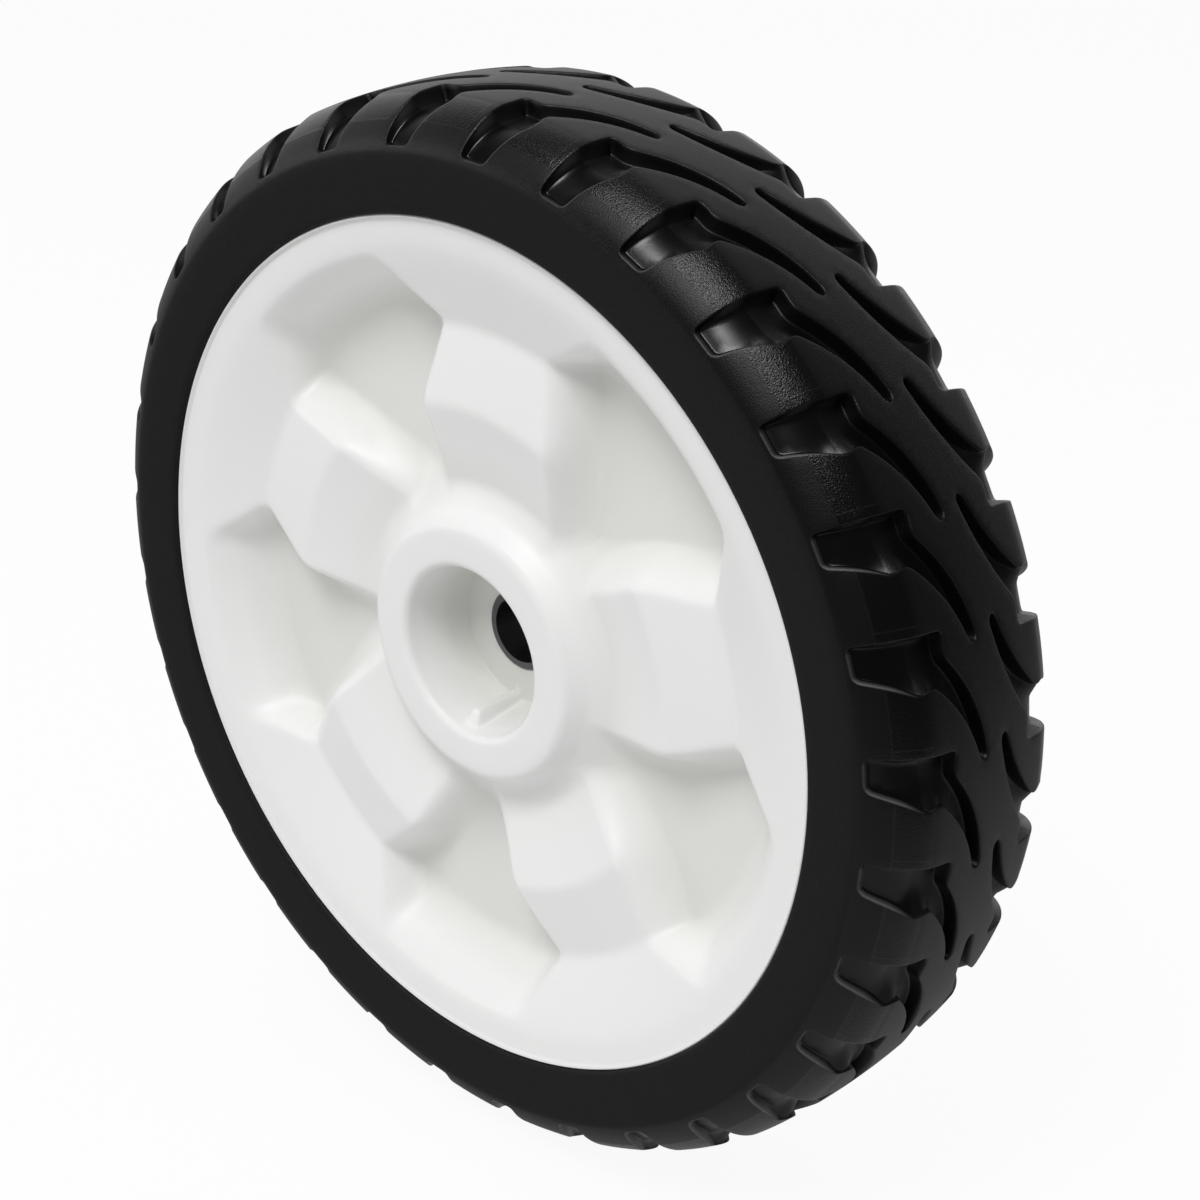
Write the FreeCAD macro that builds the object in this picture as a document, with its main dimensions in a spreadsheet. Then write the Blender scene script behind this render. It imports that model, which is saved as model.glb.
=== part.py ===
import FreeCAD, Part
import math
import os
import Sketcher
from FreeCAD import Vector

# A lawn mower wheel: a rubber tyre with 32 curved grooves a side on a white five-spoke plastic wheel,
# with a plain steel bush for the axle pressed into its hub.
# The axle runs along Y, the outboard face looks towards -Y, and the origin is the middle of the tyre.

SIZES = {
    # tyre
    "tyre_radius": 101.6,
    "tyre_half_width": 22.2,
    "crown_bow": 120.0,
    "shoulder_round": 10.0,
    "shoulder_bands": 3,
    "crown_flat": 8.0,
    "tyre_section": 20.5,
    "bead_step": 0.8,
    # tread
    "groove_count": 32,
    "groove_depth": 2.4,
    "tread_root": 1.5,
    "floor_crease": 15.5,
    "lip_inset": 0.2,
    "lip_drop": 1.5,
    "groove_length": 24.8,
    "groove_shift": -0.8,
    "notch_width": 5.5,
    "notch_lean": 0.6,
    "hook_width": 4.2,
    "hook_reach": 9.7,
    "hook_drop": 0.4,
    "tail_reach": 1.8,
    "tail_width": 2.1,
    "tail_sag": 1.6,
    "notch_sag": 0.5,
    "lug_waist": 15.0,
    "lug_cut": 10.0,
    "cutter_reach": 20.0,
    "cutter_clearance": 4.0,
    # rim
    "rim_half_width": 20.85,
    "rim_edge_round": 0.6,
    "flange_wall": 3.2,
    "seat_drop": 4.1,
    "flange_face": 5.4,
    "flange_fall": 0.9,
    # dished face and spokes
    "dish_width": 14.7,
    "valley_depth": 6.4,
    "ridge_run": 14.5,
    "ridge_depth": 4.0,
    "root_radius": 33.0,
    "root_depth": 8.0,
    # pockets between the spokes
    "spoke_count": 5,
    "pocket_angle": 49.0,
    "pocket_margin": 4.9,
    "pocket_half_spread": 15.0,
    "corner_cut": 10.8,
    "spoke_end_mouth": 9.6,
    "spoke_end_floor": 17.0,
    "pinch_back": 2.0,
    "spoke_pinch_mouth": 14.3,
    "spoke_pinch_floor": 19.5,
    "nose_mouth": 23.5,
    "nose_half_mouth": 10.0,
    "nose_floor": 33.2,
    "nose_half_floor": 4.1,
    "pocket_depth": 12.7,
    "pocket_level": 5.0,
    "pocket_draft": 31.0,
    "pocket_mouth": 1.0,
    # hub
    "hub_radius": 24.5,
    "hub_flare": 1.6,
    "hub_foot": 3.4,
    "hub_foot_rise": 1.2,
    "hub_face_depth": 2.6,
    "hub_edge_round": 3.0,
    "edge_bands": 2,
    "hub_back_reach": 21.0,
    "socket_radius": 16.4,
    "socket_taper": 1.9,
    "socket_depth": 17.0,
    "mouth_round": 1.6,
    "rib_width": 2.2,
    "rib_height": 1.3,
    "rib_length": 11.5,
    "rib_angle": -96.0,
    "rib_root": 1.0,
    # axle bush
    "bore_radius": 6.35,
    "bush_wall": 1.6,
    "bush_proud": 0.5,
    "bush_chamfer": 0.4,
}

doc = FreeCAD.newDocument("mower_wheel")
sheet = doc.addObject("Spreadsheet::Sheet", "Sizes")
for row, (name, value) in enumerate(SIZES.items(), start=1):
    sheet.set("A%d" % row, name)
    sheet.set("B%d" % row, str(value))
    sheet.setAlias("B%d" % row, name)
doc.recompute()


def size(name):
    """Value of one cell of the sheet."""
    return float(sheet.get(name))


def new_body(name):
    """Empty body with this name."""
    body = doc.addObject("PartDesign::Body", name)
    body.Label = name
    return body


def origin_feature(body, role):
    """Origin plane or axis of a body, by its role."""
    for feature in body.Origin.OriginFeatures:
        if feature.Role == role:
            return feature
    raise ValueError(role)


def new_sketch(body, name, role, edges, lift=None):
    """Sketch on an origin plane of the body, lifted by an expression; edges are lists of 2 or 3 points."""
    sketch = body.newObject("Sketcher::SketchObject", name)
    sketch.AttachmentSupport = [(origin_feature(body, role), "")]
    sketch.MapMode = "FlatFace"
    if lift:
        sketch.setExpression("AttachmentOffset.Base.z", lift)
    for edge in edges:
        points = [Vector(x, y, 0) for x, y in edge]
        if len(points) == 2:
            sketch.addGeometry(Part.LineSegment(points[0], points[1]), False)
        else:
            sketch.addGeometry(Part.Arc(points[0], points[1], points[2]), False)
    return sketch


def joined(points):
    """Closed outline of straight edges through these points."""
    return [[points[i], points[(i + 1) % len(points)]] for i in range(len(points))]


def revolve(body, name, edges):
    """Ring turned about the axle from an outline of (axial, radial) points."""
    sketch = new_sketch(body, name + "_outline", "YZ_Plane", edges)
    ring = body.newObject("PartDesign::Revolution", name)
    ring.Profile = sketch
    ring.ReferenceAxis = (sketch, ["H_Axis"])
    ring.Angle = 360
    return ring


def around_axle(body, name, originals, count):
    """Copies of features set evenly around the axle."""
    ring = body.newObject("PartDesign::PolarPattern", name)
    ring.Originals = originals
    ring.Axis = (origin_feature(body, "Y_Axis"), [""])
    ring.Angle = 360
    ring.setExpression("Occurrences", count)
    body.Tip = ring
    return ring


# Radii that follow from others, so that what seats on another piece moves with it.
rim_radius = size("tyre_radius") - size("tyre_section")
seat_radius = rim_radius - size("seat_drop")
flange_radius = rim_radius - size("flange_face")
valley_radius = flange_radius - size("dish_width")
ridge_radius = valley_radius - size("ridge_run")
pocket_radius = flange_radius - size("pocket_margin")
pocket_corner = pocket_radius - size("corner_cut")
bush_radius = size("bore_radius") + size("bush_wall")
socket_floor_radius = size("socket_radius") - size("socket_taper")
hub_side_radius = size("hub_radius") + size("hub_flare")
hub_foot_radius = hub_side_radius + size("hub_foot")


def mirrored(edges):
    """The same outline edges on the other side of the middle plane."""
    return [[(-x, y) for x, y in reversed(edge)] for edge in reversed(edges)]


# Tyre: a flat crown falls off a little to each side and rolls over round shoulders into the sidewalls.
# The rolled edges of both mouldings are made of a few flat bands.
tyre_radius = size("tyre_radius")
half_width = size("tyre_half_width")
bow = size("crown_bow")
shoulder = size("shoulder_round")
shoulder_at = half_width - shoulder
bow_centre = tyre_radius - bow
shoulder_height = bow_centre + math.sqrt((bow - shoulder) ** 2 - shoulder_at ** 2)
crown_end = math.asin(shoulder_at / (bow - shoulder))


def banded(centre, radius, start, end, count):
    """Points of an arc, split into this many equal bands; angles run from the radial direction to +Y."""
    angles = [start + (end - start) * i / count for i in range(count + 1)]
    return [(centre[0] + radius * math.sin(a), centre[1] + radius * math.cos(a)) for a in angles]


def chained(points):
    """Open run of straight edges through these points."""
    return [[points[i], points[i + 1]] for i in range(len(points) - 1)]


shoulder_centre = (shoulder_at, shoulder_height)
shoulder_bands = int(size("shoulder_bands"))
shoulder_points = banded(shoulder_centre, shoulder, crown_end, math.pi / 2, shoulder_bands)
shoulder_end = shoulder_points[-1]
crown_corner = (size("crown_flat"), tyre_radius)
crown_flat = [(-crown_corner[0], tyre_radius), crown_corner]

# Carcass: everything up to the groove floors, seated in the channel of the rim.
floor_radius = tyre_radius - size("groove_depth")
crease = size("floor_crease")
lip = half_width - size("lip_inset")
lip_height = shoulder_height + math.sqrt(shoulder ** 2 - (lip - shoulder_at) ** 2) - size("lip_drop")
flange_inside = size("rim_half_width") - size("flange_wall")
bead = half_width - size("bead_step")
side = [
    [(crease, floor_radius), (lip, lip_height)],
    [(lip, lip_height), shoulder_end],
    [shoulder_end, (bead, rim_radius)],
    [(bead, rim_radius), (flange_inside, rim_radius)],
    [(flange_inside, rim_radius), (flange_inside, seat_radius)],
]
floor_flat = [(-crease, floor_radius), (crease, floor_radius)]
seat = [(flange_inside, seat_radius), (-flange_inside, seat_radius)]
carcass = new_body("carcass")
revolve(carcass, "carcass_ring", [floor_flat] + side + [seat] + mirrored(side))

# Tread: a band over the carcass, cut through by a hooked groove in each half of its width.
under = size("tread_root")
band_corner = (crease - under, floor_radius - under)
band_foot = ((crease + lip) / 2, shoulder_end[1])
band_side = chained([crown_corner] + shoulder_points + [band_foot, band_corner])
band_floor = [band_corner, (-band_corner[0], band_corner[1])]
tread = new_body("tread")
revolve(tread, "tread_band", [crown_flat] + band_side + [band_floor] + mirrored(band_side))

# One groove as seen from above: notch over the shoulder, small hook, then a tail that sweeps to the middle.
left = size("groove_shift") - size("groove_length") / 2
right = size("groove_shift") + size("groove_length") / 2
hook = size("hook_reach")
tail = size("tail_reach")
tip_round = size("tail_width") / 2
notch_corner = (left, -lip)
hook_start = (left + size("notch_lean"), -hook)
hook_end = (left + size("notch_lean") + size("hook_width"), -hook - size("hook_drop"))
tail_end = (right - tip_round, -tail)
tail_tip = (right, -tail - tip_round)
tail_front = (right - tip_round, -tail - 2 * tip_round)
waist = (left + size("lug_cut"), -size("lug_waist"))
notch_end = (left + size("notch_width"), -lip)


def bowed(start, end, sag):
    """Arc between two points that stands off the middle of its chord by sag, to the left of its run."""
    run = math.hypot(end[0] - start[0], end[1] - start[1])
    middle = ((start[0] + end[0]) / 2 - sag * (end[1] - start[1]) / run,
              (start[1] + end[1]) / 2 + sag * (end[0] - start[0]) / run)
    return [start, middle, end]


groove = [
    [notch_corner, hook_start],
    [hook_start, hook_end],
    bowed(hook_end, tail_end, size("tail_sag")),
    [tail_end, tail_tip, tail_front],
    bowed(tail_front, waist, -size("tail_sag")),
    bowed(waist, notch_end, -size("notch_sag")),
    [notch_end, notch_corner],
]
turned_groove = [[(-x, -y) for x, y in edge] for edge in groove]
cutter_top = "Sizes.tyre_radius + Sizes.cutter_clearance"
groove_sketch = new_sketch(tread, "groove_outline", "XY_Plane", groove + turned_groove, cutter_top)
cut = tread.newObject("PartDesign::Pocket", "groove_pair")
cut.Profile = groove_sketch
cut.setExpression("Length", "Sizes.cutter_reach + Sizes.cutter_clearance")
doc.recompute()
band_volume = doc.tread_band.Shape.Volume
if not cut.Shape.Volume < band_volume:
    raise ValueError("the grooves cut nothing")
around_axle(tread, "grooves", [cut], "Sizes.groove_count")

tyre = doc.addObject("Part::Fuse", "tyre")
tyre.Label = "tyre"
tyre.Base = carcass
tyre.Tool = tread
tyre.Refine = True

# Wheel: one hollow moulding, kept as one solid, with the same flange, dish and ridged spokes on both faces.
front = -size("rim_half_width")
edge_round = size("rim_edge_round")
hub_round = size("hub_edge_round")
hub_flat = hub_side_radius - hub_round
mouth = size("mouth_round")
mouth_radius = size("socket_radius") + mouth
hub_face = front + size("hub_face_depth")
hub_back = size("hub_back_reach")
socket_floor = front + size("socket_depth")
edge_bands = int(size("edge_bands"))


def face_edges(hub_face):
    """Outline of one face from the seat of the tyre to the flat of a hub whose face lies at hub_face."""
    hub_centre = (hub_face + hub_round, hub_flat)
    hub_edge = banded(hub_centre, hub_round, 0, -math.pi / 2, edge_bands)
    slopes = [
        (-flange_inside, seat_radius),
        (-flange_inside, rim_radius),
        (front + edge_round, rim_radius),
        (front, rim_radius - edge_round),
        (front + size("flange_fall"), flange_radius),
        (front + size("valley_depth"), valley_radius),
        (front + size("ridge_depth"), ridge_radius),
        (front + size("root_depth"), size("root_radius")),
        (front + size("root_depth") - size("hub_foot_rise"), hub_foot_radius),
    ]
    return chained(slopes + hub_edge)


socket_mouth = banded((hub_face + mouth, mouth_radius), mouth, -math.pi / 2, -math.pi, edge_bands)
socket = chained([(hub_face, hub_flat)] + socket_mouth + [
    (socket_floor, socket_floor_radius),
    (socket_floor, bush_radius),
    (hub_back, bush_radius),
    (hub_back, hub_flat),
])
wheel = new_body("wheel")
revolve(wheel, "blank", face_edges(hub_face) + socket + mirrored(face_edges(-hub_back)) + [seat])

# A small rib stands on the wall of the hub socket.
rib_turn = math.radians(size("rib_angle"))
rib_half = size("rib_width") / 2
rib_low = socket_floor_radius - size("rib_height")
rib_high = size("socket_radius") + size("rib_root")


def turned(points, angle):
    """Points given as (across, outward), turned so that outward lies at this angle."""
    c = math.cos(angle)
    s = math.sin(angle)
    return [(out * c + across * s, out * s - across * c) for across, out in points]


rib_corners = [(-rib_half, rib_low), (rib_half, rib_low), (rib_half, rib_high), (-rib_half, rib_high)]
rib_sketch = new_sketch(wheel, "rib_outline", "XZ_Plane", joined(turned(rib_corners, rib_turn)),
                        "Sizes.rim_half_width - Sizes.socket_depth - Sizes.rib_root")
rib = wheel.newObject("PartDesign::Pad", "socket_rib")
rib.Profile = rib_sketch
rib.setExpression("Length", "Sizes.rib_length + Sizes.rib_root")

# Pockets between the spokes: a nose at the hub, sides that pinch in where the spokes are widest, cut corners
# and a round outer end.
gap = math.pi / size("spoke_count")
draft = math.tan(math.radians(size("pocket_draft")))
spread = math.radians(size("pocket_half_spread"))
pocket_turn = math.radians(size("pocket_angle"))


def beside_spoke(reach, half_width):
    """Point at a distance along a spoke and beside it, as (across, outward) of the next pocket."""
    return (reach * math.sin(gap) - half_width * math.cos(gap),
            reach * math.cos(gap) + half_width * math.sin(gap))


def pocket_edges(label, depth):
    """Outline of one pocket at its mouth or its floor, which lies at this depth."""
    outer = pocket_radius - (depth - size("pocket_level")) * draft
    half = [
        (size("nose_half_" + label), size("nose_" + label)),
        beside_spoke(ridge_radius - size("pinch_back"), size("spoke_pinch_" + label)),
        beside_spoke(pocket_corner, size("spoke_end_" + label)),
        (outer * math.sin(spread), outer * math.cos(spread)),
    ]
    other = [(-across, out) for across, out in reversed(half)]
    edges = chained(half) + [[half[-1], (0, outer), other[0]]] + chained(other) + [[other[-1], half[0]]]
    return [turned(edge, pocket_turn) for edge in edges]


def pocket_loft(name, side):
    """Drafted hollow of one pocket on one face of the wheel, from in front of the rim down to its floor."""
    sections = []
    for label, depth in (("mouth", -size("pocket_mouth")), ("floor", size("pocket_depth"))):
        lift = "%s * (Sizes.rim_half_width - %s)" % (side, depth)
        sections.append(new_sketch(wheel, name + "_" + label, "XZ_Plane", pocket_edges(label, depth), lift))
    loft = wheel.newObject("PartDesign::SubtractiveLoft", name)
    loft.Profile = sections[0]
    loft.Sections = [sections[1]]
    loft.Ruled = True
    doc.recompute()
    return loft


doc.recompute()
blank_volume = wheel.Shape.Volume
pockets = [pocket_loft("front_pocket", 1), pocket_loft("back_pocket", -1)]
around_axle(wheel, "pockets", pockets, "Sizes.spoke_count")
doc.recompute()
if not wheel.Shape.Volume < blank_volume:
    raise ValueError("the pockets cut nothing")

# Axle bush: a plain steel sleeve with its outer edges broken, a little proud of the hub at both ends.
bore = size("bore_radius")
chamfer = size("bush_chamfer")
bush_front = socket_floor - size("bush_proud")
bush_back = hub_back + size("bush_proud")
bush_outline = [
    (bush_front, bore),
    (bush_front, bush_radius - chamfer),
    (bush_front + chamfer, bush_radius),
    (bush_back - chamfer, bush_radius),
    (bush_back, bush_radius - chamfer),
    (bush_back, bore),
]
axle_bush = new_body("axle_bush")
revolve(axle_bush, "bush_sleeve", joined(bush_outline))
doc.recompute()

for item in doc.Objects:
    if "Invalid" in item.State or "Error" in item.State:
        raise ValueError("%s did not build" % item.Name)
os.makedirs("parts", exist_ok=True)
for node in (tyre, wheel, axle_bush):
    if node.Shape.isNull() or not node.Shape.isValid() or len(node.Shape.Solids) != 1:
        raise ValueError("%s is not one sound solid" % node.Label)
    node.Shape.exportStep("parts/%s.step" % node.Label)
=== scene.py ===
import math

import bmesh
import bpy
import numpy as np
from mathutils import Matrix, Vector
from mathutils.geometry import delaunay_2d_cdt


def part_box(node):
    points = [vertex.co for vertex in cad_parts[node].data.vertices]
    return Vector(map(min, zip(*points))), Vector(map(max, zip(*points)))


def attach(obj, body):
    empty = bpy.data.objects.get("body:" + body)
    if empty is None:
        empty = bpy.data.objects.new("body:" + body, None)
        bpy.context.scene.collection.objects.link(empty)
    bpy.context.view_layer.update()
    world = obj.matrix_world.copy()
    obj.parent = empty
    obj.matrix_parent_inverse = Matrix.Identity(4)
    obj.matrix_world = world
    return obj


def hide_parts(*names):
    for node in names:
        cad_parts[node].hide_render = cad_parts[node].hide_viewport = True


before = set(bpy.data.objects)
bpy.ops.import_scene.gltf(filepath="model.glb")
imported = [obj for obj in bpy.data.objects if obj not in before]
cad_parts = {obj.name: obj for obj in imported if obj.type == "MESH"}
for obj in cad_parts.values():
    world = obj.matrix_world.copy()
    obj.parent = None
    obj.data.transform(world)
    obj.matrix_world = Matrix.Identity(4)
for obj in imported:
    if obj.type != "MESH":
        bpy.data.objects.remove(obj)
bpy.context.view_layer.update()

# Wheel
# One hollow moulding of natural white polyethylene: a rim channel for the tyre, a dished face with a raised
# ridge, five broad spokes with drafted pockets between them, and a hub with a socket for the axle nut.
_, wheel_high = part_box("wheel")
rim_radius = wheel_high[0]
rim_face = -0.02085
flange_wall = 0.0032
seat_depth = 0.0041
seat_radius = rim_radius - seat_depth
rim_edge_round = 0.0006
hub_depth = 0.0026
hub_flat = 0.0231
hub_round = 0.003
hub_back = wheel_high[1]
ring_radii = [0.0261, 0.0283, 0.031, 0.0465, 0.061, 0.0757, rim_radius]
ring_depths = [0.0056, 0.0074, 0.0084, 0.004, 0.0064, 0.0009, 0.0]
slope_round = 0.001
spoke_count = 5
pocket_angle = math.radians(49)
pocket_radius = 0.0708
pocket_spread = math.radians(15)
pocket_level = 0.005
pocket_draft = math.tan(math.radians(31))
pocket_mouth, pocket_floor = -0.001, 0.0127
deepest_level, level_count = 1.6, 17
nose_reach = (0.0235, 0.0332)
nose_half = (0.01, 0.0041)
nose_short = (0.0065, 0.0012)
pinch_reach = 0.0445
pinch_half = (0.0143, 0.0195)
end_reach = 0.06
end_half = (0.0096, 0.017)
plan_round = 0.002
edge_soft = 0.004
floor_soft = 0.006


def lesser(a, b, soft):
    """Lower of two heights; where they differ by less than soft, a parabola rolls one into the other."""
    return np.minimum(a, b) - np.maximum(soft - np.abs(a - b), 0) ** 2 / (4 * soft)


def turned_depth(radius, hub_face):
    """Depth of the plain turned face: straight slopes between its rings, averaged over a short run."""
    bend = np.linspace(0, math.pi / 2, 6)[:-1]
    radii = np.concatenate([[0], hub_flat + hub_round * np.sin(bend), ring_radii])
    depths = np.concatenate([[hub_face], hub_face + hub_round * (1 - np.cos(bend)), ring_depths])
    shifts = np.linspace(-slope_round, slope_round, 9)
    return np.mean([np.interp(radius + shift, radii, depths) for shift in shifts], axis=0)


def pocket_depth(radius, angle):
    """Depth of the nearest pocket, whose outline shrinks evenly from its mouth to its floor.

    A point lies as deep as the level at which its distance inside the outline falls to nothing. The
    outline has a lopsided nose at the hub, two sides that pinch in beside the ridge, two cut corners
    and a round outer end.
    """
    turn = 2 * math.pi / spoke_count
    local = (angle - pocket_angle + turn / 2) % turn - turn / 2
    along = radius * np.cos(local)
    across = np.abs(radius * np.sin(local))
    c, s = math.cos(turn / 2), math.sin(turn / 2)

    def inside(start, end):
        """Distance to the left of a straight side: the cross product with the side, over its length."""
        run = np.hypot(end[0] - start[0], end[1] - start[1])
        return ((along - start[0]) * (end[1] - start[1]) - (across - start[1]) * (end[0] - start[0])) / run

    distances = []
    levels = np.linspace(0, deepest_level, level_count)
    depths = pocket_mouth + (pocket_floor - pocket_mouth) * levels
    for level, depth in zip(levels, depths):
        nose, nose_wide, nose_narrow, pinch_side, end_side = [
            at_mouth + (at_floor - at_mouth) * level
            for at_mouth, at_floor in (nose_reach, nose_half, nose_short, pinch_half, end_half)
        ]
        nose_side = np.where(local > 0, nose_narrow, nose_wide)
        outer = pocket_radius - (depth - pocket_level) * pocket_draft
        pinch = (pinch_reach * c + pinch_side * s, pinch_reach * s - pinch_side * c)
        corner = (end_reach * c + end_side * s, end_reach * s - end_side * c)
        end = (outer * math.cos(pocket_spread), outer * math.sin(pocket_spread))
        beside_spoke = -lesser(-inside((nose, nose_side), pinch), -inside(pinch, corner), plan_round)
        distance = lesser(beside_spoke, inside(corner, end), plan_round)
        distance = lesser(distance, outer - radius, plan_round)
        distances.append(lesser(distance, along - nose, plan_round))
    distances = np.array(distances)
    fall = np.maximum(distances[:-1] - distances[1:], 1e-9)
    passed = np.clip(distances[:-1] / fall, 0, 1).mean(axis=0)
    return lesser(depths[0] + (depths[-1] - depths[0]) * passed, pocket_floor, floor_soft)


def face_rows(radius, angle, hub_face):
    """Radius and depth of the moulded face on a grid: the deeper of the turned face and the pockets."""
    grid_radius = np.repeat(radius[:, None], len(angle), axis=1)
    turned = turned_depth(grid_radius, hub_face)
    return grid_radius, -lesser(-turned, -pocket_depth(grid_radius, angle[None, :]), edge_soft)


def turned_rows(points, count):
    """Rows of a plain turned stretch: each (radius, place along the axle) carried all round."""
    points = np.array(points)
    return np.repeat(points[:, :1], count, axis=1), np.repeat(points[:, 1:], count, axis=1)


def arc(centre, radius, start, end, steps):
    """Even points of an arc; angles in degrees from the radial direction towards the back."""
    turn = np.radians(np.linspace(start, end, steps))
    return np.stack([centre[0] + radius * np.cos(turn), centre[1] + radius * np.sin(turn)], axis=1)


def new_piece(name, points, faces, **values):
    """Mesh object from arrays of points and faces, welded at its seams.

    Each named value has one number per point, and is kept on the corners of the faces.
    """
    mesh = bpy.data.meshes.new(name)
    mesh.from_pydata(points.reshape(-1, 3).tolist(), [], faces.tolist())
    for key, numbers in values.items():
        corner_values = np.ravel(numbers)[faces].ravel().astype(np.float32)
        mesh.attributes.new(key, "FLOAT", "CORNER").data.foreach_set("value", corner_values)
    welded = bmesh.new()
    welded.from_mesh(mesh)
    bmesh.ops.remove_doubles(welded, verts=welded.verts, dist=3e-6)
    bmesh.ops.recalc_face_normals(welded, faces=welded.faces)
    welded.to_mesh(mesh)
    welded.free()
    mesh.shade_smooth()
    piece = bpy.data.objects.new(name, mesh)
    bpy.context.collection.objects.link(piece)
    return piece


def grid_faces(rows, columns):
    """Quads of a grid of points whose columns run all round."""
    row, column = np.meshgrid(np.arange(rows - 1), np.arange(columns), indexing="ij")
    beside = (column + 1) % columns
    this_row, next_row = row * columns, (row + 1) * columns
    corners = [this_row + column, this_row + beside, next_row + beside, next_row + column]
    return np.stack(corners, axis=-1).reshape(-1, 4)


columns = 400
angle = np.arange(columns) * 2 * math.pi / columns
flange_inside = rim_face + flange_wall
rim_bend = arc((rim_radius - rim_edge_round, rim_face + rim_edge_round), rim_edge_round, 0, -75, 5)
rim_profile = np.concatenate([
    [(seat_radius, 0), (seat_radius, flange_inside), (rim_radius, flange_inside)],
    [(rim_radius, rim_face + 3 * rim_edge_round)],
    rim_bend,
])
front_rim = turned_rows(rim_profile, columns)
back_rim = turned_rows(rim_profile[::-1] * (1, -1), columns)

# the outboard face, its rows closer together towards the hub
dish_foot, hub_foot = 0.034, 0.027
mouth_round = 0.0016
socket_radius = 0.0164
front_radius = np.concatenate([
    np.linspace(rim_radius - rim_edge_round, dish_foot, 76)[:-1],
    np.linspace(dish_foot, hub_foot, 12)[:-1],
    np.linspace(hub_foot, hub_flat, 18)[:-1],
    np.linspace(hub_flat, socket_radius + mouth_round, 6),
])
front_face = face_rows(front_radius, angle, hub_depth)

# the socket for the nut: rounded mouth, tapered wall, floor with the hole for the bush, and a square rib
socket_taper = 0.0019
socket_depth = 0.017
bush_hole = 0.00795
socket_floor_radii = (0.0142, 0.0138, 0.0115, 0.0092, 0.0082, bush_hole)
rib_angle = math.radians(-96)
rib_half_width = 0.0011
rib_top = 0.0132
rib_length = 0.0115
rib_end_soft = 0.00022
rib_squareness = 12
hub_face = rim_face + hub_depth
socket_floor = rim_face + socket_depth
mouth = arc((socket_radius + mouth_round, hub_face + mouth_round), mouth_round, -90, -180, 6)[1:]
wall_share = np.linspace(0, 1, 34)[1:]
wall = np.stack([
    socket_radius - socket_taper * wall_share,
    hub_face + mouth_round + (socket_floor - hub_face - mouth_round) * wall_share,
], axis=1)
floor = [(radius, socket_floor) for radius in socket_floor_radii]
socket_r, socket_y = turned_rows(np.concatenate([mouth, wall, floor]), columns)
rib_across = ((angle - rib_angle + math.pi) % (2 * math.pi) - math.pi) * rib_top / rib_half_width
rib_along = np.clip((socket_y - (socket_floor - rib_length)) / rib_end_soft, -60, 60)
rib_share = 1 / (1 + rib_across[None, :] ** rib_squareness) / (1 + np.exp(-rib_along))
socket_r = socket_r - np.maximum(socket_r - rib_top, 0) * rib_share

# the hole through to the inboard face, and that face
back_hole_edge = 0.0084
back_flat_edge = hub_flat - 0.001
bore = turned_rows([(bush_hole, hub_back), (back_hole_edge, hub_back), (back_flat_edge, hub_back)], columns)
back_radius = np.concatenate([
    np.linspace(hub_flat, hub_foot, 12)[:-1],
    np.linspace(hub_foot, rim_radius - rim_edge_round, 56),
])
back_face = face_rows(back_radius, angle, -rim_face - hub_back)

stretches = [
    front_rim, (front_face[0], rim_face + front_face[1]), (socket_r, socket_y),
    bore, (back_face[0], -rim_face - back_face[1]), back_rim,
]
wheel_r, wheel_y = [np.concatenate(rows) for rows in zip(*stretches)]
wheel_points = np.stack([wheel_r * np.cos(angle), wheel_y, wheel_r * np.sin(angle)], axis=-1)
# depth below the rim face in millimetres, which the plastic's painted shade follows
sunk = (-rim_face - np.abs(wheel_y)) * 1000
wheel = new_piece("wheel_moulding", wheel_points, grid_faces(len(wheel_r), columns), mould_depth=sunk)
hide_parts("wheel")
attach(wheel, "root")


def add_node(tree, kind, inputs, **settings):
    """New shader node with its settings made and its inputs either set or joined to another node's output."""
    made = tree.nodes.new(kind)
    for key, value in settings.items():
        setattr(made, key, value)
    for key, value in inputs.items():
        if isinstance(value, bpy.types.NodeSocket):
            tree.links.new(value, made.inputs[key])
        else:
            made.inputs[key].default_value = value
    return made


def new_material(name, colour, roughness, specular):
    """Material with these plain values on its shader; a link made later takes the place of its value."""
    material = bpy.data.materials.new(name)
    material.use_nodes = True
    shader = material.node_tree.nodes["Principled BSDF"]
    shader.inputs["Base Color"].default_value = (*colour, 1)
    shader.inputs["Roughness"].default_value = roughness
    shader.inputs["Specular IOR Level"].default_value = specular
    return material, material.node_tree, shader


# grain left in a moulding by its tool: a fine noise on top of one two and a half times as coarse
grain_ratio, grain_fine_share = 2.5, 0.4
grain = bpy.data.node_groups.new("mould_grain", "ShaderNodeTree")
grain.interface.new_socket("Scale", in_out="INPUT", socket_type="NodeSocketFloat")
grain.interface.new_socket("Height", in_out="OUTPUT", socket_type="NodeSocketFloat")
grain_in = grain.nodes.new("NodeGroupInput").outputs["Scale"]
grain_place = grain.nodes.new("ShaderNodeTexCoord").outputs["Object"]
grain_scale = add_node(grain, "ShaderNodeMath", {0: grain_in, 1: grain_ratio}, operation="MULTIPLY").outputs[0]
grain_coarse, grain_fine = [
    add_node(grain, "ShaderNodeTexNoise", {"Vector": grain_place, "Scale": scale, "Detail": 1.0}).outputs["Fac"]
    for scale in (grain_in, grain_scale)
]
grain_sum = add_node(grain, "ShaderNodeMath", {0: grain_fine, 1: grain_fine_share, 2: grain_coarse},
                     operation="MULTIPLY_ADD").outputs[0]
grain.links.new(grain_sum, grain.nodes.new("NodeGroupOutput").inputs["Height"])
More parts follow.
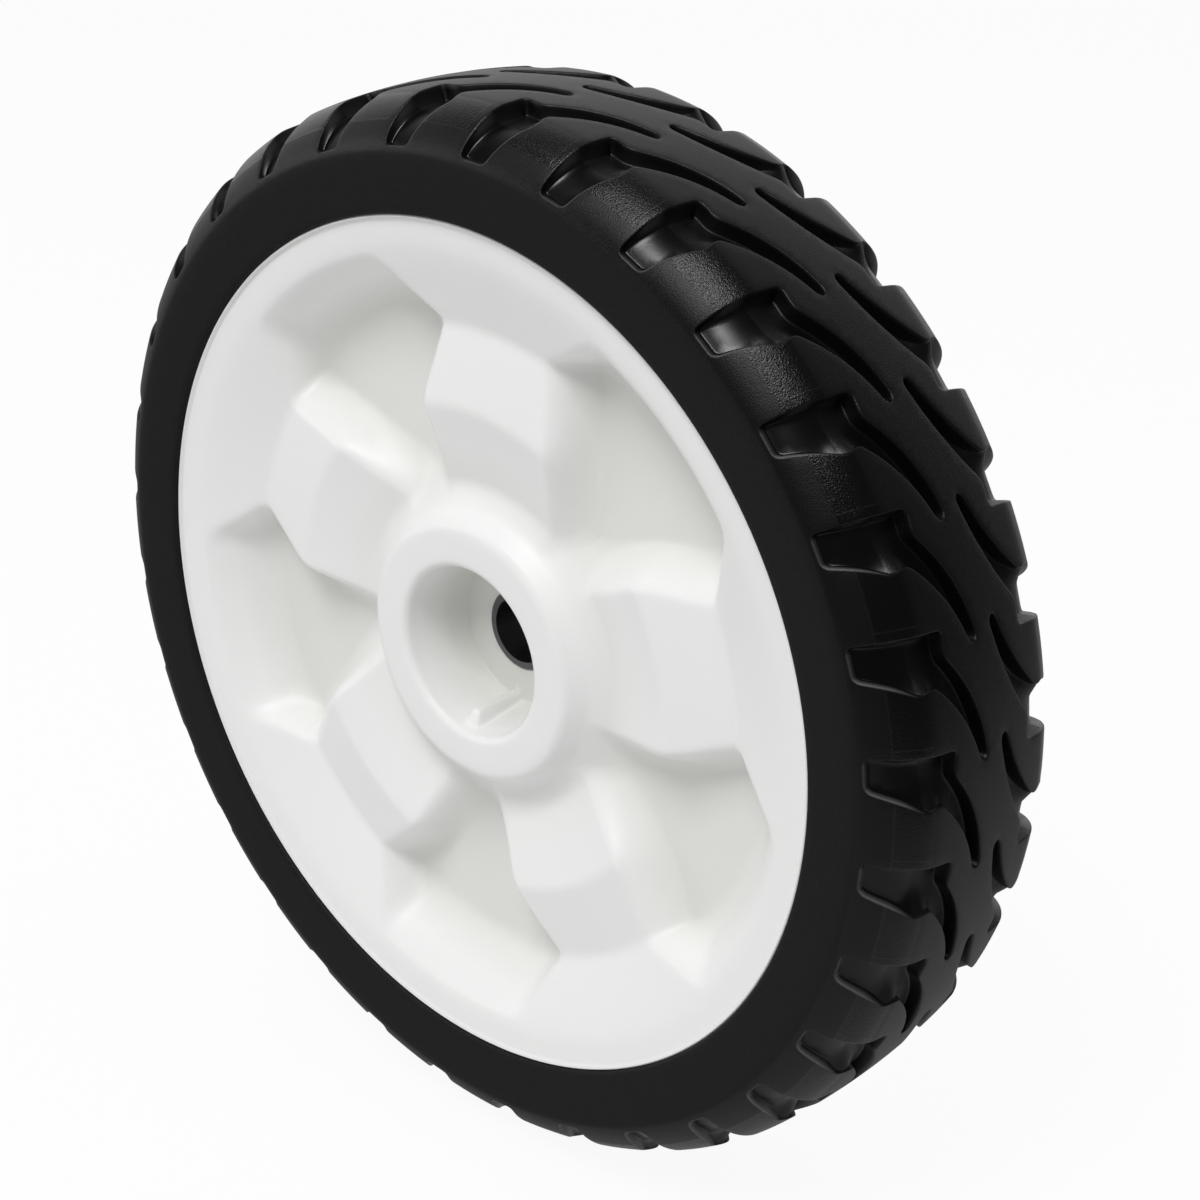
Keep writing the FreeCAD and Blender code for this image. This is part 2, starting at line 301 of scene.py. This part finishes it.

# painted shade: the moulding's colour turns a little darker and yellower deeper in the face, in the pockets
# where shade falls; the depths are in millimetres
shade_from, shade_to = 6.0, 13.0
open_face_colour, recess_shade_colour = (0.85, 0.85, 0.846, 1), (0.75, 0.75, 0.72, 1)
plastic, plastic_tree, plastic_shader = new_material("white_polyethylene", (0.845, 0.845, 0.836), 0.42, 0.4)
plastic_grain = add_node(plastic_tree, "ShaderNodeGroup", {"Scale": 420}, node_tree=grain).outputs["Height"]
plastic_bump = add_node(plastic_tree, "ShaderNodeBump",
                        {"Height": plastic_grain, "Strength": 0.12, "Distance": 0.0002})
plastic_tree.links.new(plastic_bump.outputs["Normal"], plastic_shader.inputs["Normal"])
plastic_depth = add_node(plastic_tree, "ShaderNodeAttribute", {}, attribute_name="mould_depth").outputs["Fac"]
plastic_shade_share = add_node(plastic_tree, "ShaderNodeMapRange",
                         {"Value": plastic_depth, "From Min": shade_from, "From Max": shade_to}).outputs["Result"]
# painted shade, deeper in the pockets
plastic_shaded_colour = add_node(plastic_tree, "ShaderNodeMix", {0: plastic_shade_share, 6: open_face_colour, 7: recess_shade_colour},
                          data_type="RGBA").outputs[2]
plastic_tree.links.new(plastic_shaded_colour, plastic_shader.inputs["Base Color"])
wheel.data.materials.append(plastic)

# Axle bush
# A short sleeve cut from drawn steel tube and pressed into the hub, in which the axle turns.
# It keeps its solid, with a dull metal finish.
steel, _, steel_shader = new_material("drawn_steel", (0.14, 0.14, 0.145), 0.38, 0.5)
steel_shader.inputs["Metallic"].default_value = 1.0
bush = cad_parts["axle_bush"]
bush.data.materials.clear()
bush.data.materials.append(steel)

# Tyre
# Moulded black rubber stretched over the rim. Each half of its tread has a ring of hooked grooves that start
# as open notches on the shoulder and sweep round to a narrow tail at the middle of the crown.
_, tyre_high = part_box("tyre")
tyre_radius = tyre_high[0]
half_width = tyre_high[1]
crown_bow = 0.12
shoulder_round = 0.01
tread_shift = 0.0014
shift_start, shift_run = 0.0002, 0.009
groove_count = 32
pitch = 2 * math.pi * tyre_radius / groove_count
shoulder_at = half_width - shoulder_round
bow_centre = tyre_radius - crown_bow
shoulder_height = bow_centre + math.sqrt((crown_bow - shoulder_round) ** 2 - shoulder_at ** 2)
crown_turn = math.asin(shoulder_at / (crown_bow - shoulder_round))
crown_run = crown_bow * crown_turn
half_run = crown_run + shoulder_round * (math.pi / 2 - crown_turn)


def tread_place(x, s, height):
    """Point on the tyre at arc length x round the crown and s across it, raised along the profile's normal.

    The profile is a wide arc over the crown and a tight one over each shoulder. The tread sits back on it,
    by a smooth step that starts at the foot of the shoulder.
    """
    on_crown = np.abs(s) < crown_run
    turn = np.where(on_crown, np.abs(s) / crown_bow, crown_turn + (np.abs(s) - crown_run) / shoulder_round)
    bow = np.where(on_crown, crown_bow, shoulder_round) + height
    across = np.sign(s) * (np.where(on_crown, 0, shoulder_at) + bow * np.sin(turn))
    radius = np.where(on_crown, bow_centre, shoulder_height) + bow * np.cos(turn)
    set_back = np.clip((radius - shoulder_height - shift_start) / shift_run, 0, 1)
    across = np.minimum(across + tread_shift * set_back ** 2 * (3 - 2 * set_back), half_width)
    round_angle = x / tyre_radius
    return np.stack([radius * np.sin(round_angle), across, radius * np.cos(round_angle)], axis=-1)


def stretch(start, end, sag):
    """Even points from start towards end, standing off their chord by a parabola of height sag to its left."""
    part = np.linspace(0, 1, 60, endpoint=False)[:, None]
    along = np.subtract(end, start)
    left = np.array([-along[1], along[0]]) / np.hypot(along[0], along[1])
    return start + part * along + 4 * sag * part * (1 - part) * left


def even_loop(points, step):
    """The same closed run of points at an even step, its corners rolled round by a moving average."""
    finer, window = 8, 14
    closed = np.vstack([points, points[:1]])
    length = np.concatenate([[0], np.cumsum(np.hypot(*np.diff(closed, axis=0).T))])
    fine = np.linspace(0, length[-1], finer * round(length[-1] / step), endpoint=False)
    run = np.stack([np.interp(fine, length, closed[:, i]) for i in (0, 1)], axis=1)
    soft = np.mean([np.roll(run, k, axis=0) for k in range(-window, window + 1)], axis=0)
    return soft[::finer]


# outline of one groove as (x, s): the notch on the shoulder, the hook, the tail, and back by way of the waist
notch_corner, notch_end = (-0.0144, -0.0258), (-0.0084, -0.0258)
hook_start, hook_end = (-0.01265, -0.0097), (-0.0083, -0.0102)
tail_end, tail_tip, tail_front = (0.0106, -0.0018), (0.01165, -0.00285), (0.0106, -0.0039)
lug_point, waist = (-0.0045, -0.0134), (-0.0036, -0.0163)
groove_corners = [
    notch_corner, hook_start, hook_end, tail_end, tail_tip, tail_front, lug_point, waist, notch_end,
]
groove_sags = [0.0, 0.0, 0.0014, 0.0002, 0.0002, -0.0012, 0.0, -0.0004, 0.0]
outline_step = 0.00068
groove_sides = zip(groove_corners, groove_corners[1:] + groove_corners[:1], groove_sags)
outline = even_loop(np.concatenate([stretch(*side) for side in groove_sides]), outline_step)
ahead = np.roll(outline, -1, axis=0) - np.roll(outline, 1, axis=0)
inward = np.stack([ahead[:, 1], -ahead[:, 0]], axis=1) / np.hypot(ahead[:, 0], ahead[:, 1])[:, None]

# rings down the groove's wall, from its lip to its floor; the upper wall of the notch slopes more
ring_inset = np.array([-0.00036, -0.00012, -0.00002, 0.00005, 0.00017, 0.00026, 0.00046])
ring_share = np.array([0, 0.02, 0.1, 0.3, 0.88, 0.97, 1.0])
# share of the painted highlight on each ring, most on the lip's rounded edge
ring_highlight = np.array([0, 0.7, 1, 0.6, 0, 0, 0])
slope_gain, slope_end, slope_ease = 3.2, 0.0268, 0.006
upper_wall = np.clip(2 * inward[:, 0] - 1, 0, 1)
wall_slope = 1 + slope_gain * upper_wall * np.clip((outline[:, 1] + slope_end) / slope_ease, 0, 1)
ring_run = ring_inset[:, None] * np.where(ring_inset[:, None] > 0, wall_slope, 1)
rings = outline[None] + ring_run[..., None] * inward[None]
lip_ring, floor_ring = rings[0], rings[-1]

floor_depth = 0.0029
ease_from, ease_slope, ease_round = 0.0148, 0.075, 0.0015
ramp_rise, ramp_shift = 0.9, 0.0013
ramp_size = (0.003, 0.0034)


def groove_depth_at(x, s):
    """Depth of the groove floor: even over the crown, less on the shoulder, and rising to the lug at the waist.

    It eases out along a rounded bend into a straight slope, and the rise at the waist is a bell.
    """
    out = np.abs(s) - ease_from
    depth = floor_depth - ease_slope * (out + np.sqrt(out ** 2 + ease_round ** 2))
    away = ((x - waist[0]) / ramp_size[0]) ** 2 + ((s - waist[1] - ramp_shift) / ramp_size[1]) ** 2
    return depth * (1 - ramp_rise * np.exp(-away))


def inside_ring(points, ring):
    """True for points inside a closed ring, by counting the ring's sides that each point's ray crosses."""
    ax, ay = ring[None, :, 0], ring[None, :, 1]
    bx, by = np.roll(ring[:, 0], -1)[None], np.roll(ring[:, 1], -1)[None]
    px, py = points[:, :1], points[:, 1:]
    straddles = (ay > py) != (by > py)
    with np.errstate(divide="ignore", invalid="ignore"):
        crossing = ax + (py - ay) / (by - ay) * (bx - ax)
    return np.sum(straddles & (px < crossing), axis=1) % 2 == 1


def gap_to(points, ring):
    """Distance from each point to the nearest point of a ring."""
    apart = points[:, None] - ring[None]
    return np.min(np.hypot(apart[..., 0], apart[..., 1]), axis=1)


# one pitch of one half of the tread, cut along a line that leans back by a whole pitch between two grooves
row_count, inner_count, cell_count = 27, 12, 9
lean_run = 0.0085
lug_gap, floor_gap = 0.0008, 0.0005
row_s = -np.linspace(0, half_run, row_count)
lean = 1 - np.exp(-(row_s / lean_run) ** 2)
edge_x = -pitch * lean / lean[-1]
inner_x, inner_s = np.meshgrid(np.arange(1, inner_count) / inner_count * pitch, row_s[1:-1])
inner = np.stack([inner_x + edge_x[1:-1, None], inner_s], axis=-1).reshape(-1, 2)
on_lug = ~inside_ring(inner, lip_ring) & (gap_to(inner, lip_ring) > lug_gap)
on_floor = inside_ring(inner, floor_ring) & (gap_to(inner, floor_ring) > floor_gap)
foot_x = edge_x[-1] + np.arange(1, cell_count) * pitch / cell_count
border = np.concatenate([
    np.stack([np.arange(cell_count) * pitch / cell_count, np.zeros(cell_count)], axis=1),
    np.stack([edge_x + pitch, row_s], axis=1),
    np.stack([foot_x[::-1], np.full(cell_count - 1, row_s[-1])], axis=1),
    np.stack([edge_x, row_s], axis=1)[:0:-1],
])
flat = np.concatenate([border, inner[on_lug], inner[on_floor], rings.reshape(-1, 2)])
floor_share = np.concatenate([
    np.zeros(len(border) + on_lug.sum()),
    np.ones(on_floor.sum()),
    np.repeat(ring_share, len(outline)),
])
border_index = np.arange(len(border))
border_sides = np.stack([border_index, (border_index + 1) % len(border)], axis=1)
first_ring = len(flat) - len(ring_share) * len(outline)
ring_index = np.arange(first_ring, len(flat)).reshape(rings.shape[:2])
ring_sides = np.stack([ring_index, np.roll(ring_index, -1, axis=1)], axis=-1).reshape(-1, 2)
sides = np.concatenate([border_sides, ring_sides])
cut_points, _, cut_faces = delaunay_2d_cdt((flat * 1000).tolist(), sides.tolist(), [], 1, 1e-6, False)[:3]
if len(cut_points) != len(flat):
    raise ValueError("the groove rings cross: %d points became %d" % (len(flat), len(cut_points)))
tile_faces = np.array(cut_faces)
tile_faces = tile_faces[inside_ring(flat[tile_faces].mean(axis=1), border)]
tile_x, tile_s = flat.T
tile_h = -groove_depth_at(tile_x, tile_s) * floor_share

# painted highlight along the edge of the notch, where its rounded lip catches the light: not at its upper
# corner, and less along its outer side
highlight_from, highlight_run = 0.0165, 0.004
corner_from, corner_run = 0.0139, 0.0008
outer_side, outer_highlight = -0.0255, 0.45
lip_highlight = np.clip((-rings[..., 1] - highlight_from) / highlight_run, 0, 1)
lip_highlight = lip_highlight * np.clip((rings[..., 0] + corner_from) / corner_run, 0, 1)
lip_highlight = lip_highlight * np.where(rings[..., 1] < outer_side, outer_highlight, 1) * ring_highlight[:, None]
tile_lip_highlight = np.concatenate([np.zeros(first_ring), lip_highlight.ravel()])

# both halves of every pitch, and the sidewalls down to the bead and the seat in the rim channel
starts = np.arange(groove_count)[:, None] * pitch
all_s = np.broadcast_to(tile_s, (groove_count, len(flat)))
front_tread = tread_place(tile_x + starts, all_s, tile_h)
back_tread = tread_place(pitch - tile_x + starts, -all_s, tile_h)
tread_points = np.concatenate([front_tread, back_tread]).reshape(-1, 3)
tread_faces = (tile_faces[None] + len(flat) * np.arange(2 * groove_count)[:, None, None]).reshape(-1, 3)
bead = half_width - 0.0008
wall_radii, wall_insets = [0.0895, 0.0872, 0.085, 0.083], [0.00006, 0.00024, 0.00044, 0.00062]
bead_radii, bead_rises = [0.0818, 0.0814, 0.0812, rim_radius], [0.00005, -0.0001, -0.00035, -0.0008]
side_profile = np.array([
    (shoulder_height, half_width),
    *[(radius, half_width - inset) for radius, inset in zip(wall_radii, wall_insets)],
    *[(radius, bead + rise) for radius, rise in zip(bead_radii, bead_rises)],
    (rim_radius, -flange_inside), (seat_radius, -flange_inside), (seat_radius, 0),
])
side_columns = groove_count * cell_count
side_angle = np.arange(side_columns) * 2 * math.pi / side_columns
side_r, side_y = turned_rows(side_profile, side_columns)
front_side = np.stack([side_r * np.sin(side_angle), -side_y, side_r * np.cos(side_angle)], axis=-1)
front_side = front_side.reshape(-1, 3)
back_side = front_side * (1, -1, 1)
side_faces = grid_faces(len(side_profile), side_columns)
side_triangles = np.concatenate([side_faces[:, :3], side_faces[:, [0, 2, 3]]])
tyre_points = np.concatenate([tread_points, front_side, back_side])
first_front, first_back = len(tread_points), len(tread_points) + len(front_side)
tyre_faces = np.concatenate([tread_faces, side_triangles + first_front, side_triangles + first_back])


def over_tyre(tile_values, side_value=0.0):
    """The numbers of one tile repeated over the whole tread, and one number over both sidewalls."""
    return np.concatenate([np.tile(tile_values, 2 * groove_count), np.full(2 * len(front_side), side_value)])


tyre = new_piece(
    "tyre_rubber", tyre_points, tyre_faces,
    tread_x=over_tyre(tile_x) * 1000,
    tread_s=over_tyre(tile_s, -half_run) * 1000,
    tread_floor=over_tyre(floor_share),
    tread_lip=over_tyre(tile_lip_highlight),
)
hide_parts("tyre")
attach(tyre, "root")

rubber, rubber_tree, rubber_shader = new_material("black_rubber", (0.003, 0.003, 0.003), 0.5, 0.4)


def tread_value(name):
    """One of the numbers kept on the tyre's mesh."""
    return add_node(rubber_tree, "ShaderNodeAttribute", {}, attribute_name=name).outputs["Fac"]


def blend(value, low, high, start=0.0, end=1.0):
    """Value that eases from start to end while another runs from low to high."""
    ends = {"Value": value, "From Min": low, "From Max": high, "To Min": start, "To Max": end}
    return add_node(rubber_tree, "ShaderNodeMapRange", ends, interpolation_type="SMOOTHSTEP").outputs["Result"]


def calc(operation, *values):
    """Sum, product or other plain reckoning of one to three values."""
    return add_node(rubber_tree, "ShaderNodeMath", dict(enumerate(values)), operation=operation).outputs[0]


def line_at(offset):
    """A thin line, full where an offset is nothing and gone a fifth of a millimetre to either side."""
    return blend(calc("ABSOLUTE", offset), 0.05, 0.22, 1.0, 0.0)


# parts of the tread, by their place across and round it in millimetres: the grained panels between the
# notches, the smooth notch floors, the sidewall, and the fine lines left by the mould
across, around = tread_value("tread_s"), tread_value("tread_x")
on_top = blend(tread_value("tread_floor"), 0.02, 0.3, 1.0, 0.0)
panel = calc("MULTIPLY", blend(across, -15.2, -14.4, 1.0, 0.0), blend(across, -21.9, -21.4))
panel = calc("MULTIPLY", panel, on_top)
sidewall = blend(across, -27.8, -26.0, 1.0, 0.0)
smooth_floor = calc("MULTIPLY", calc("SUBTRACT", 1.0, on_top), blend(across, -17.0, -16.0, 1.0, 0.0))
shoulder_line = 21.5
edge_gap, edge_slant = 1.8, 0.1087
edge_x_at_crown = 1000 * (hook_start[0] - edge_slant * hook_start[1]) - edge_gap
edge_offset = calc("SUBTRACT", around, calc("MULTIPLY_ADD", across, edge_slant, edge_x_at_crown))
tool_line = line_at(calc("ADD", across, shoulder_line))
edge_line = calc("MULTIPLY", line_at(edge_offset), panel)
lines = calc("MULTIPLY", calc("MAXIMUM", tool_line, edge_line), on_top)

# relief: a fine grain all over but for the notch floors, a coarse one on the panels, and the lines
coarse_grain, fine_grain = [
    add_node(rubber_tree, "ShaderNodeGroup", {"Scale": scale}, node_tree=grain).outputs["Height"]
    for scale in (3300, 4200)
]
coarse_level, line_rise = 0.7, 0.25
relief = calc("MULTIPLY", fine_grain, blend(smooth_floor, 0.0, 1.0, 0.6, 0.05))
relief = calc("MULTIPLY_ADD", calc("SUBTRACT", coarse_grain, coarse_level), panel, relief)
relief = calc("MULTIPLY_ADD", lines, line_rise, relief)
rubber_bump = add_node(rubber_tree, "ShaderNodeBump", {"Height": relief, "Strength": 0.35, "Distance": 0.00022})
rubber_tree.links.new(rubber_bump.outputs["Normal"], rubber_shader.inputs["Normal"])

# roughness: dull sidewall, smoother notch floors and panels
tread_rough, sidewall_rough, floor_polish, panel_polish = 0.45, 0.72, -0.16, -0.15
rough = blend(sidewall, 0.0, 1.0, tread_rough, sidewall_rough)
rough = calc("MULTIPLY_ADD", smooth_floor, floor_polish, rough)
rough = calc("MULTIPLY_ADD", panel, panel_polish, rough)
rubber_tree.links.new(rough, rubber_shader.inputs["Roughness"])

# colour: near black and speckled, with painted shade that makes it darkest in the grooves, and painted
# highlights that make it paler on the notch lips and along the mould lines
panel_tone, crown_tone, sidewall_tone, groove_shade = 0.0004, 0.0012, 0.0015, 0.12
line_highlight, lip_highlight_tone = 0.05, 0.09
tone = calc("MULTIPLY_ADD", sidewall, sidewall_tone, blend(across, -16.0, -13.5, panel_tone, crown_tone))
speckle = blend(fine_grain, 0.5, 0.9, 0.2, 1.8)
# painted shade: the groove floors and walls keep only a small part of the tone
tone = calc("MULTIPLY", calc("MULTIPLY", tone, speckle), blend(on_top, 0.0, 1.0, groove_shade, 1.0))
# painted highlights on the mould lines and on the notch lips
painted_highlight = calc("MULTIPLY_ADD", lines, line_highlight, tread_value("tread_lip"))
rubber_tree.links.new(calc("MULTIPLY_ADD", painted_highlight, lip_highlight_tone, tone), rubber_shader.inputs["Base Color"])
tyre.data.materials.append(rubber)

# Stage
# A pale floor that keeps a faint shadow, a white surround, two soft lamps and the camera of the photograph.
# The floor reaches far behind the wheel and ends under the camera.
floor_near, floor_far = 0.3, 3
floor_mesh = bpy.data.meshes.new("studio_floor")
floor_corners = [
    (-floor_far, -floor_near, -tyre_radius), (floor_near, -floor_near, -tyre_radius),
    (floor_near, floor_far, -tyre_radius), (-floor_far, floor_far, -tyre_radius),
]
floor_mesh.from_pydata(floor_corners, [], [(0, 1, 2, 3)])
studio_floor = bpy.data.objects.new("studio_floor", floor_mesh)
bpy.context.collection.objects.link(studio_floor)


def either(tree, *values):
    """Greatest of some values."""
    most = values[0]
    for value in values[1:]:
        most = add_node(tree, "ShaderNodeMath", {0: most, 1: value}, operation="MAXIMUM").outputs[0]
    return most


# the floor is nearly white to the camera, and dimmer where the wheel mirrors it
glow_share, mirrored_glow = 0.93, 0.4
paper, paper_tree, paper_shader = new_material("white_paper", (0.85, 0.85, 0.85), 0.9, 0.2)
paper_rays = add_node(paper_tree, "ShaderNodeLightPath", {}).outputs
paper_shown = either(paper_tree, paper_rays["Is Camera Ray"], paper_rays["Is Transmission Ray"])
paper_seen = either(paper_tree, paper_shown, paper_rays["Is Glossy Ray"])
paper_share = add_node(paper_tree, "ShaderNodeMath", {0: paper_seen, 1: glow_share}, operation="MULTIPLY")
paper_level = either(paper_tree, paper_shown, mirrored_glow)
paper_glow = add_node(paper_tree, "ShaderNodeEmission", {"Color": (1, 1, 1, 1), "Strength": paper_level})
paper_mix = add_node(paper_tree, "ShaderNodeMixShader",
                     {0: paper_share.outputs[0], 1: paper_shader.outputs[0], 2: paper_glow.outputs[0]})
paper_tree.links.new(paper_mix.outputs[0], paper_tree.nodes["Material Output"].inputs["Surface"])
floor_mesh.materials.append(paper)

# the surround is white to the camera, lights the back a little more than the front,
# and is mirrored white from behind the wheel and dim from behind the camera
world = bpy.data.worlds.new("white_surround")
world.use_nodes = True
world_tree = world.node_tree
world_rays = add_node(world_tree, "ShaderNodeLightPath", {}).outputs
world_way = add_node(world_tree, "ShaderNodeTexCoord", {}).outputs["Generated"]


def surround_level(towards, start, end, low, high):
    """Brightness of the surround, rising from low to high while its direction turns towards another."""
    facing = add_node(world_tree, "ShaderNodeVectorMath", {0: world_way, 1: towards}, operation="DOT_PRODUCT")
    ends = {"Value": facing.outputs["Value"], "From Min": start, "From Max": end, "To Min": low, "To Max": high}
    return add_node(world_tree, "ShaderNodeMapRange", ends).outputs["Result"]


world_light = surround_level((0, 1, 0), 0.0, 0.6, 0.41, 0.85)
world_mirrored = surround_level((-0.68, 0.73, 0), 0.3, 0.85, 0.08, 1.0)
world_level = add_node(world_tree, "ShaderNodeMix",
                       {0: world_rays["Is Glossy Ray"], 2: world_light, 3: world_mirrored}).outputs[0]
world_seen = either(world_tree, world_rays["Is Camera Ray"], world_rays["Is Transmission Ray"], world_level)
surround = world_tree.nodes["Background"]
surround.inputs["Color"].default_value = (1, 1, 1, 1)
world_tree.links.new(world_seen, surround.inputs["Strength"])
bpy.context.scene.world = world


def soft_lamp(name, place, side, power):
    """Square area lamp at a place, turned to face the wheel."""
    lamp = bpy.data.lights.new(name, "AREA")
    lamp.shape = "SQUARE"
    lamp.size = side
    lamp.energy = power
    holder = bpy.data.objects.new(name, lamp)
    holder.location = place
    holder.rotation_euler = (-Vector(place)).to_track_quat("-Z", "Y").to_euler()
    bpy.context.collection.objects.link(holder)


soft_lamp("key_lamp", (0.2, -0.66, 1.05), 0.45, 9.0)
soft_lamp("front_lamp", (-1.0, -0.7, 0.3), 0.5, 2.0)

camera_data = bpy.data.cameras.new("photo_camera")
camera_data.sensor_width = 36
camera_data.lens = 70.48
camera = bpy.data.objects.new("photo_camera", camera_data)
camera_place = (0.28120, -0.28423, 0.18486)
azimuth = math.radians(42.986)
elevation = math.radians(24.253)
camera.matrix_world = (
    Matrix.Translation(camera_place)
    @ Matrix.Rotation(azimuth, 4, "Z")
    @ Matrix.Rotation(math.pi / 2 - elevation, 4, "X")
)
bpy.context.collection.objects.link(camera)
bpy.context.scene.camera = camera
bpy.context.scene.view_settings.view_transform = "Standard"
